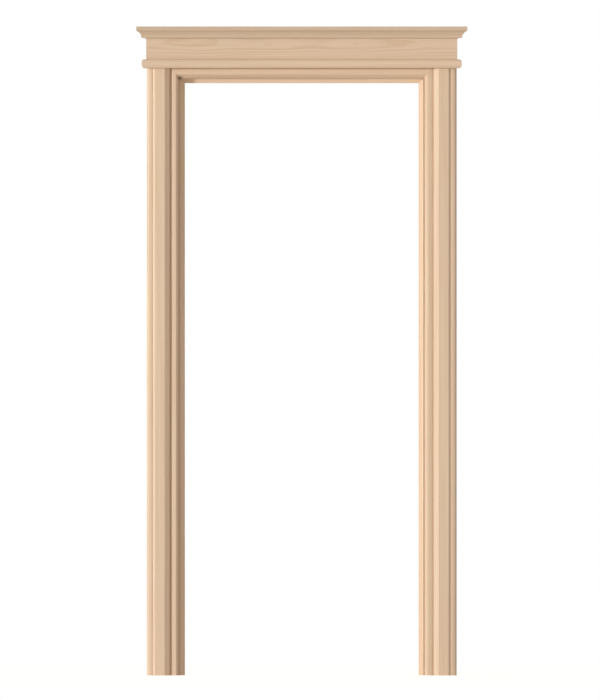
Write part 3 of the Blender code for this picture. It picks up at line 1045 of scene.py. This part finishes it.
@dataclass
class Header(TimberGroup):
    """Frieze board with a crown along its top and a bead along its foot, both returned at the ends.

    From the top down the crown has a fillet, a shallow cove, a nose and a small bed fillet.
    """

    arris: float = 1.5 * MM
    crown_fillet_height: float = 13.6 * MM
    crown_cove_height: float = 17.6 * MM
    crown_cove_projection: float = 16.5 * MM
    crown_cove_rise: float = 0.085
    crown_nose_width: float = 1.2 * MM
    crown_nose_height: float = 7.6 * MM
    crown_nose_rise: float = 0.10
    crown_soffit_fall: float = 0.2 * MM
    crown_bed_projection: float = 3.0 * MM
    crown_bed_height: float = 2.2 * MM
    bead_nose: float = 8.5 * MM
    bead_edge: float = 8.5 * MM
    bead_foot_projection: float = 7.0 * MM
    bead_rise: float = 0.17
    bead_drop: float = 1.2 * MM
    crown_paleness: float = 0.89
    bead_paleness: float = 1.03

    def __post_init__(self) -> None:
        """Read the places of the board and its mouldings from the frame."""
        low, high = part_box("frieze_board")
        crown_low, crown_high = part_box("crown_front")
        bead_low, bead_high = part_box("bead_front")
        self.board_low = low
        self.board_high = high
        self.top = high.z
        self.foot = low.z
        self.mitre_x = high.x
        self.face_y = crown_high.y
        self.crown_projection = crown_high.y - crown_low.y
        self.bead_projection = bead_high.y - bead_low.y
        self.bead_height = bead_high.z - bead_low.z

    def draw_board(self, pen: SectionPen) -> None:
        """Draw the board, measured forward from its back and up from its foot.

        Args:
            pen: The pen that draws the section.
        """
        thickness = self.board_high.y - self.board_low.y
        height = self.top - self.foot
        pen.line(0.0, 0.0)
        pen.line(0.0, height)
        pen.line(thickness, height)
        pen.line(thickness, 0.0)

    def draw_crown(self, pen: SectionPen) -> None:
        """Draw the crown, measured forward from the board and up from the top of the header.

        Args:
            pen: The pen that draws the section.
        """
        cove_top = -self.crown_fillet_height
        cove_foot = cove_top - self.crown_cove_height
        nose_foot = cove_foot - self.crown_nose_height
        bed_top = nose_foot - self.crown_soffit_fall
        pen.line(0.0, 0.0)
        pen.line(self.crown_projection - self.arris, 0.0)
        pen.eased(self.crown_projection, -self.arris)
        pen.line(self.crown_projection, cove_top)
        pen.curve(self.crown_cove_projection, cove_foot, -self.crown_cove_rise)
        pen.curve(self.crown_cove_projection - self.crown_nose_width, nose_foot, self.crown_nose_rise)
        pen.line(self.crown_bed_projection, bed_top)
        pen.line(self.crown_bed_projection, bed_top - self.crown_bed_height)
        pen.line(0.0, bed_top - self.crown_bed_height)

    def draw_bead(self, pen: SectionPen) -> None:
        """Draw the bead, measured forward from the board and up from the foot of the header.

        Args:
            pen: The pen that draws the section.
        """
        nose_top = self.bead_height - self.bead_nose
        pen.line(0.0, self.bead_height)
        pen.line(self.bead_projection - self.bead_nose, self.bead_height)
        pen.curve(self.bead_projection, nose_top, QUARTER_RISE)
        pen.line(self.bead_projection, nose_top - self.bead_edge)
        pen.curve(self.bead_foot_projection, -self.bead_drop, self.bead_rise)
        pen.line(0.0, -self.bead_drop)

    def front_length(self, draw: Draw, height: float) -> Solid:
        """Run a moulding along the board and saw a mitre at each end.

        Args:
            draw: Method that draws the section.
            height: Height from which the section is measured.

        Returns:
            The moulding's mesh.
        """
        middle = self.face_y * BACK + height * UP
        reach = (self.mitre_x + 2.0 * self.crown_projection) * ACROSS
        mitres = [(middle + self.mitre_x * side.outward, side.outward + BACK) for side in Side]
        return run_length(draw, middle, (-BACK, UP), (-reach, reach), mitres)

    def return_length(self, draw: Draw, height: float, side: Side) -> Solid:
        """Run a moulding round one end of the board, back to the wall.

        Args:
            draw: Method that draws the section.
            height: Height from which the section is measured.
            side: The end of the board.

        Returns:
            The return's mesh.
        """
        corner = self.mitre_x * side.outward + self.face_y * BACK + height * UP
        span = (-2.0 * self.crown_projection * BACK, (self.board_high.y - self.face_y) * BACK)
        return run_length(draw, corner, (side.outward, UP), span, [(corner, -(side.outward + BACK))])

    def build(self) -> None:
        """Build the board and its mouldings."""
        slot = "header_timber"
        corner = self.board_high.y * BACK + self.foot * UP
        span = (self.board_low.x * ACROSS, self.board_high.x * ACROSS)
        mesh = run_length(self.draw_board, corner, (-BACK, UP), span)
        middle_mm = (self.board_low.y / MM, (self.foot + self.top) / 2.0 / MM)
        self.add("frieze", mesh, "frieze_board", slot, Board(Grain.ALONG_X, Cut.FLAT, middle_mm=middle_mm))

        for kind, draw, height, paleness in (
            ("crown", self.draw_crown, self.top, self.crown_paleness),
            ("bead", self.draw_bead, self.foot, self.bead_paleness),
        ):
            board = Board(Grain.ALONG_X, Cut.RIFT, paleness)
            self.add(f"front_{kind}", self.front_length(draw, height), f"{kind}_front", slot, board)
            for side in Side:
                board = Board(Grain.ALONG_Y, Cut.RIFT, paleness)
                mesh = self.return_length(draw, height, side)
                self.add(f"{side.label}_{kind}_return", mesh, f"{kind}_return_{side.label}", slot, board)


@dataclass
class HeaderDowels(TimberGroup):
    """Fluted dowels that register the top of each casing in the foot of the frieze board."""

    clearance: float = 0.3 * MM
    end_room: float = 1.0 * MM
    chamfer: float = 1.0 * MM
    flute_depth: float = 0.35 * MM
    flutes: int = 18
    flute_steps: int = 4
    paleness: float = 0.94

    def dowel(self, middle: Vector, radius: float, half_length: float) -> Solid:
        """Turn one dowel, with its flutes and its chamfered ends.

        Args:
            middle: The middle of the dowel.
            radius: Its radius over the flutes' crests.
            half_length: Half its length.

        Returns:
            The dowel's mesh.
        """
        mesh = bmesh.new()
        around = self.flutes * self.flute_steps
        ring = bmesh.ops.create_circle(mesh, cap_ends=True, segments=around, radius=radius)["verts"]
        for corner in ring[::self.flute_steps]:
            corner.co *= 1.0 - self.flute_depth / radius
        rim = 1.0 - self.chamfer / radius
        bmesh.ops.scale(mesh, verts=mesh.verts, vec=(rim, rim, 1.0))
        end = mesh.faces[:]
        for rise, spread in (
            (self.chamfer, 1.0 / rim),
            (2.0 * (half_length - self.chamfer), 1.0),
            (self.chamfer, rim),
        ):
            end = bmesh.ops.extrude_face_region(mesh, geom=end)["geom"]
            bmesh.ops.translate(mesh, verts=corners_of(end), vec=rise * UP)
            bmesh.ops.scale(mesh, verts=corners_of(end), vec=(spread, spread, 1.0))
        put_in_place(mesh, middle - half_length * UP)
        return mesh

    def build(self, casings: CasingPair, header: Header) -> None:
        """Build the dowels and bore the holes for them.

        Args:
            casings: The casings, which are bored from the top.
            header: The header, whose board is bored from its foot.
        """
        for side in Side:
            for row in ("inner", "outer"):
                node = f"header_dowel_{side.label}_{row}"
                low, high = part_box(node)
                middle = (low + high) / 2.0
                radius = (high.y - low.y) / 2.0
                half_length = (high.z - low.z) / 2.0
                for piece in (casings.pieces[f"{side.label}_casing"], header.pieces["frieze"]):
                    hole = round_bar(middle, radius + self.clearance, half_length + self.end_room)
                    carve(piece, hole)
                mesh = self.dowel(middle, radius, half_length)
                board = Board(Grain.ALONG_Z, Cut.QUARTER, self.paleness)
                self.add(f"{side.label}_{row}_dowel", mesh, node, "dowel_timber", board)


@dataclass
class CornerScrews:
    """Countersunk wood screws, driven down through the head jamb into the ends of the side jambs."""

    steel: PlatedSteel = field(default_factory=PlatedSteel)
    clearance: float = 0.3 * MM
    head_height: float = 3.0 * MM
    head_edge: float = 0.5 * MM
    shank_radius: float = 1.9 * MM
    thread_radius: float = 2.45 * MM
    core_radius: float = 1.6 * MM
    thread_top: float = 26.0 * MM
    point_height: float = 8.0 * MM
    run_out: float = 1.0 * MM
    pitch: float = 2.5 * MM
    turn_steps: int = 24
    root_share: float = 0.45
    crest_share: float = 0.72
    first_share: float = 0.6
    finest_taper: float = 0.02
    recess_radius: float = 2.7 * MM
    recess_width: float = 1.1 * MM
    recess_depth: float = 2.2 * MM
    recess_foot: float = 0.5
    mouth_height: float = 2.0 * MM
    pieces: dict[str, Piece] = field(default_factory=dict, init=False)

    def screw(self, top: Vector, head_radius: float, length: float) -> Solid:
        """Turn one screw with its thread.

        The thread is one pitch of its outline, drawn round the axis as it climbs. Its open lower rim is then
        drawn in to the point, and the upper one leads on to the shank and the head.

        Args:
            top: The middle of the head's face.
            head_radius: The radius of the head.
            length: The length from the head's face to the point.

        Returns:
            The screw's mesh.
        """
        turns = int((length - self.thread_top) / self.pitch) - 1
        start = self.first_share * self.pitch - length
        outline = (
            (self.core_radius, start),
            (self.core_radius, start + self.root_share * self.pitch),
            (self.thread_radius, start + self.crest_share * self.pitch),
            (self.core_radius, start + self.pitch),
        )
        mesh = self._turned(outline, turns, self.pitch)
        for corner in mesh.verts:
            above_tip = corner.co.z + length
            if above_tip < self.point_height:
                taper = max(above_tip / self.point_height, self.finest_taper)
                corner.co.x *= taper
                corner.co.y *= taper
        rim = [edge for edge in mesh.edges if edge.is_boundary]
        middle_height = -length / 2.0
        low_rim = [edge for edge in rim if edge.verts[0].co.z < middle_height]
        high_rim = [edge for edge in rim if edge.verts[0].co.z > middle_height]
        self._draw_in(mesh, low_rim, 0.0, -length)
        ring = high_rim
        for radius, height in (
            (self.shank_radius, self.run_out - self.thread_top),
            (self.shank_radius, -self.head_edge - self.head_height),
            (head_radius, -self.head_edge),
            (head_radius, 0.0),
            (0.0, 0.0),
        ):
            ring = self._draw_in(mesh, ring, radius, height)
        put_in_place(mesh, top)
        return mesh

    def _turned(self, outline: tuple[Pair, ...], turns: int, climb: float = 0.0) -> Solid:
        """Turn an outline round the axis.

        Args:
            outline: Radius and height of each point.
            turns: Number of full turns.
            climb: How far it climbs in a turn.

        Returns:
            The turned surface, which is closed on itself if it doesn't climb.
        """
        steps = self.turn_steps if climb else BORE_STEPS
        mesh = bmesh.new()
        corners = [mesh.verts.new((radius, 0.0, height)) for radius, height in outline]
        edges = [mesh.edges.new(pair) for pair in zip(corners, corners[1:])]
        bmesh.ops.spin(
            mesh, geom=corners + edges, cent=(0.0, 0.0, 0.0), axis=UP, angle=2.0 * math.pi * turns,
            dvec=(0.0, 0.0, climb / steps), steps=steps * turns, use_merge=not climb,
        )
        bmesh.ops.remove_doubles(mesh, verts=mesh.verts, dist=WELD)
        return mesh

    def _draw_in(self, mesh: Solid, rim: list[Edge], radius: float, height: float) -> list[Edge]:
        """Extrude a rim to a level ring about the axis.

        Args:
            mesh: The screw.
            rim: The edges of the rim.
            radius: The ring's radius.
            height: The ring's height.

        Returns:
            The edges of the ring.
        """
        grown = bmesh.ops.extrude_edge_only(mesh, edges=rim)["geom"]
        for corner in corners_of(grown):
            spoke = Vector((corner.co.x, corner.co.y, 0.0)).normalized()
            corner.co = radius * spoke + height * UP
        bmesh.ops.remove_doubles(mesh, verts=mesh.verts, dist=WELD)
        return [
            edge for edge in mesh.edges
            if edge.is_boundary and all(abs(corner.co.z - height) < 2.0 * WELD for corner in edge.verts)
        ]

    def recess(self, top: Vector) -> Solid:
        """Shape the punch of the cross recess, narrower towards its foot.

        Args:
            top: The middle of the head's face.

        Returns:
            The punch's mesh.
        """
        half = self.recess_width / 2.0
        mesh = bmesh.new()
        corners = []
        for quarter in range(4):
            turn = Matrix.Rotation(quarter * math.pi / 2.0, 3, "Z")
            for x, y in ((self.recess_radius, -half), (self.recess_radius, half), (half, half)):
                corners.append(mesh.verts.new(turn @ Vector((x, y, self.head_edge))))
        cap = mesh.faces.new(corners)
        foot = corners_of(bmesh.ops.extrude_face_region(mesh, geom=[cap])["geom"])
        bmesh.ops.translate(mesh, verts=foot, vec=-(self.head_edge + self.recess_depth) * UP)
        bmesh.ops.scale(mesh, verts=foot, vec=(self.recess_foot, self.recess_foot, 1.0))
        put_in_place(mesh, top)
        return mesh

    def hole(self, top: Vector, head_radius: float, length: float) -> Solid:
        """Turn the countersunk hole, open at the top.

        Args:
            top: The middle of the head's face.
            head_radius: The radius of the head.
            length: The length of the screw.

        Returns:
            The hole's mesh.
        """
        mouth = head_radius + self.clearance
        bore = self.thread_radius + self.clearance
        outline = (
            (0.0, self.mouth_height),
            (mouth, self.mouth_height),
            (mouth, -self.head_edge),
            (bore, -self.head_edge - self.head_height),
            (bore, self.point_height - length),
            (self.clearance, -length),
            (0.0, -length - self.clearance),
        )
        mesh = self._turned(outline, turns=1)
        put_in_place(mesh, top - self.clearance * UP)
        return mesh

    def build(self, jambs: JambSet) -> None:
        """Build the screws and bore the holes for them.

        Args:
            jambs: The jambs, which are bored down from the top.
        """
        for side in Side:
            for row in ("front", "back"):
                node = f"corner_screw_{side.label}_{row}"
                low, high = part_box(node)
                top = Vector(((low.x + high.x) / 2.0, (low.y + high.y) / 2.0, high.z))
                head_radius = (high.x - low.x) / 2.0
                length = high.z - low.z
                for piece in (jambs.pieces["head_jamb"], jambs.pieces[f"{side.label}_jamb"]):
                    carve(piece, self.hole(top, head_radius, length))
                name = f"{side.label}_{row}_screw"
                self.pieces[name] = add_piece(name, self.screw(top, head_radius, length), node)
                carve(self.pieces[name], self.recess(top))

    def dress(self) -> None:
        """Plate every screw."""
        for name, piece in self.pieces.items():
            flatten_shading(piece)
            piece.data.materials.append(self.steel.material(name))


# Studio


@dataclass
class Studio:
    """White room: a pale floor, an even fill, a soft key from the left of the front and a weaker one behind.

    The camera stands far back with a long lens, as the photograph shows hardly any perspective.
    """

    photo_height_px: float = 700.0
    photo_centre_px: Pair = (300.0, 350.0)
    frame_centre_px: float = 301.75
    floor_line_px: float = 675.5
    metres_per_px: float = 3.42 * MM
    camera_distance: float = 75.0
    sensor_mm: float = 36.0
    shown_colour: str = "FFFFFF"
    fill_colour: str = "FFF9F0"
    fill_strength: float = 0.48
    floor_bounce: float = 0.18
    lamp_elevation: float = math.radians(3.0)
    lamp_softness: float = math.radians(8.0)
    key_strength: float = 2.32
    key_azimuth: float = math.radians(53.0)
    back_strength: float = 1.1
    back_azimuth: float = math.radians(184.0)
    floor_colour: str = "E7E5E2"
    floor_lift: float = 0.63
    floor_radius: float = 90.0
    floor_steps: int = 64
    floor_fade: Pair = (1.2, 4.0)

    def build(self) -> None:
        """Build the world, the floor, the lamps and the camera."""
        self._world()
        self._floor()
        self._lamp("key", self.key_strength, self.key_azimuth)
        self._lamp("back_light", self.back_strength, self.back_azimuth)
        self._camera()

    def _seen(self, tree: Tree) -> Socket:
        """Tell the rays that show a surface from those that only carry light.

        Args:
            tree: The nodes of a material or the world.

        Returns:
            A value that is 1 for the rays that show it and else 0.
        """
        path = add_node(tree, "LightPath")
        seen = path.outputs["Is Camera Ray"]
        for kind in ("Is Glossy Ray", "Is Transmission Ray"):
            either = add_node(tree, "Math", {0: seen, 1: path.outputs[kind]}, operation="MAXIMUM")
            seen = either.outputs[0]
        return seen

    def _world(self) -> None:
        """Light the room evenly, and show it white."""
        world = bpy.data.worlds.new("white_room")
        bpy.context.scene.world = world
        tree = empty_tree(world)
        fill = add_node(tree, "Background", {
            "Color": linear(self.fill_colour), "Strength": self.fill_strength,
        })
        white = add_node(tree, "Background", {"Color": linear(self.shown_colour), "Strength": 1.0})
        mixed = add_node(tree, "MixShader", {0: self._seen(tree), 1: fill, 2: white})
        add_node(tree, "OutputWorld", {"Surface": mixed})

    def _floor(self) -> None:
        """Lay a pale floor that keeps the frame's shadow and fades into the white room."""
        mesh = bmesh.new()
        bmesh.ops.create_circle(mesh, cap_ends=True, segments=self.floor_steps, radius=self.floor_radius)
        floor = place_object("floor", mesh)
        floor.data.materials.append(self._floor_material())

    def _floor_material(self) -> bpy.types.Material:
        """Make the floor of matt paint, which looks an even white beyond the frame and has no gloss."""
        material = bpy.data.materials.new("matt_painted_floor")
        tree = empty_tree(material)
        paint = add_node(tree, "BsdfDiffuse", {"Color": linear(self.floor_colour)})
        lift = add_node(tree, "Emission", {"Strength": self.floor_lift})
        lifted = add_node(tree, "AddShader", {0: paint, 1: lift})
        white = add_node(tree, "Emission", {"Strength": 1.0})
        coordinates = add_node(tree, "TexCoord")
        distance = add_node(tree, "VectorMath", {0: coordinates.outputs["Object"]}, operation="LENGTH")
        fade = add_node(tree, "MapRange", {
            "Value": distance.outputs["Value"], "From Min": self.floor_fade[0],
            "From Max": self.floor_fade[1],
        }, interpolation_type="SMOOTHSTEP")
        shown = add_node(tree, "MixShader", {0: fade, 1: lifted, 2: white})
        bounce = add_node(tree, "Emission", {"Strength": self.floor_bounce})
        glowing = add_node(tree, "AddShader", {0: paint, 1: bounce})
        mixed = add_node(tree, "MixShader", {0: self._seen(tree), 1: glowing, 2: shown})
        add_node(tree, "OutputMaterial", {"Surface": mixed})
        return material

    def _lamp(self, name: str, strength: float, azimuth: float) -> None:
        """Hang a lamp that is far off, broad and almost level with the frame.

        Args:
            name: The lamp's name.
            strength: Its strength.
            azimuth: Where it hangs, as an angle from the front towards the left.
        """
        light = bpy.data.lights.new(name, "SUN")
        light.energy = strength
        light.angle = self.lamp_softness
        lamp = place_object(name, light)
        level = math.cos(self.lamp_elevation)
        towards_lamp = Vector((
            -math.sin(azimuth) * level,
            -math.cos(azimuth) * level,
            math.sin(self.lamp_elevation),
        ))
        lamp.rotation_euler = towards_lamp.to_track_quat("Z", "Y").to_euler()

    def _camera(self) -> None:
        """Set the camera so that the frame has its place and size in the photograph."""
        photo_height = self.photo_height_px * self.metres_per_px
        data = bpy.data.cameras.new("camera")
        data.sensor_width = self.sensor_mm
        data.lens = self.sensor_mm * self.camera_distance / photo_height
        data.clip_end = 2.0 * self.camera_distance
        camera = place_object("camera", data)
        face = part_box("casing_right")[0].y
        camera.location = (
            (self.photo_centre_px[0] - self.frame_centre_px) * self.metres_per_px,
            face - self.camera_distance,
            (self.floor_line_px - self.photo_centre_px[1]) * self.metres_per_px,
        )
        camera.rotation_euler = (math.pi / 2.0, 0.0, 0.0)
        bpy.context.scene.camera = camera
        bpy.context.scene.view_settings.view_transform = "Standard"


def main() -> None:
    """Build the frame, its fixings and the studio."""
    logging.basicConfig(level=logging.INFO, format="%(name)s: %(message)s")
    jambs = JambSet()
    casings = CasingPair()
    header = Header()
    dowels = HeaderDowels()
    screws = CornerScrews()
    jambs.build()
    casings.build()
    header.build()
    dowels.build(casings, header)
    screws.build(jambs)
    for group in (jambs, casings, header, dowels, screws):
        group.dress()
    Studio().build()


if __name__ == "__main__":
    main()
